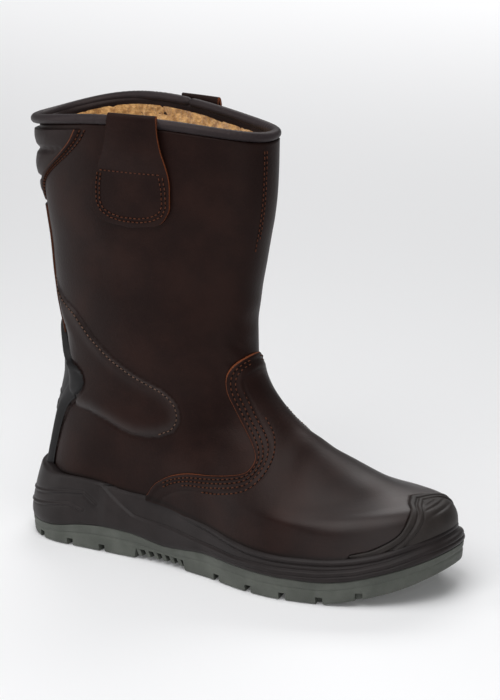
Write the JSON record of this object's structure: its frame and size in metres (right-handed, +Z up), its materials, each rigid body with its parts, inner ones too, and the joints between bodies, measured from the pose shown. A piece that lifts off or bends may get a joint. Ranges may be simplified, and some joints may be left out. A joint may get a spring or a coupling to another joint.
{
  "type": "rigger boot",
  "caption": "Pull-on rigger work boot for the right foot: hollow leather upper with pull loops, padded collar, toe bumper and heel guard on a cleated rubber sole.",
  "frame": {"origin": "middle of the footprint, on the ground", "axes": "+X from heel to toe, +Y towards the inner side of the foot, +Z up"},
  "size_m": [0.3064, 0.1148, 0.2948],
  "materials": {
    "leather": "oiled",
    "rubber": "matte",
    "foam": "satin",
    "moulding": "satin",
    "footbed": "matte"
  },
  "bodies": {
    "root": {"upper": "leather", "vamp": "leather", "back_stay": "leather", "collar_pad": "leather", "ankle_pad_lateral": "leather", "ankle_pad_medial": "leather", "collar_binding": "leather", "pull_loop_lateral": "leather", "pull_loop_medial": "leather", "outsole": "rubber", "midsole": "foam", "toe_bumper": "foam", "heel_guard": "moulding", "insole": "footbed"}
  },
  "joints": []
}
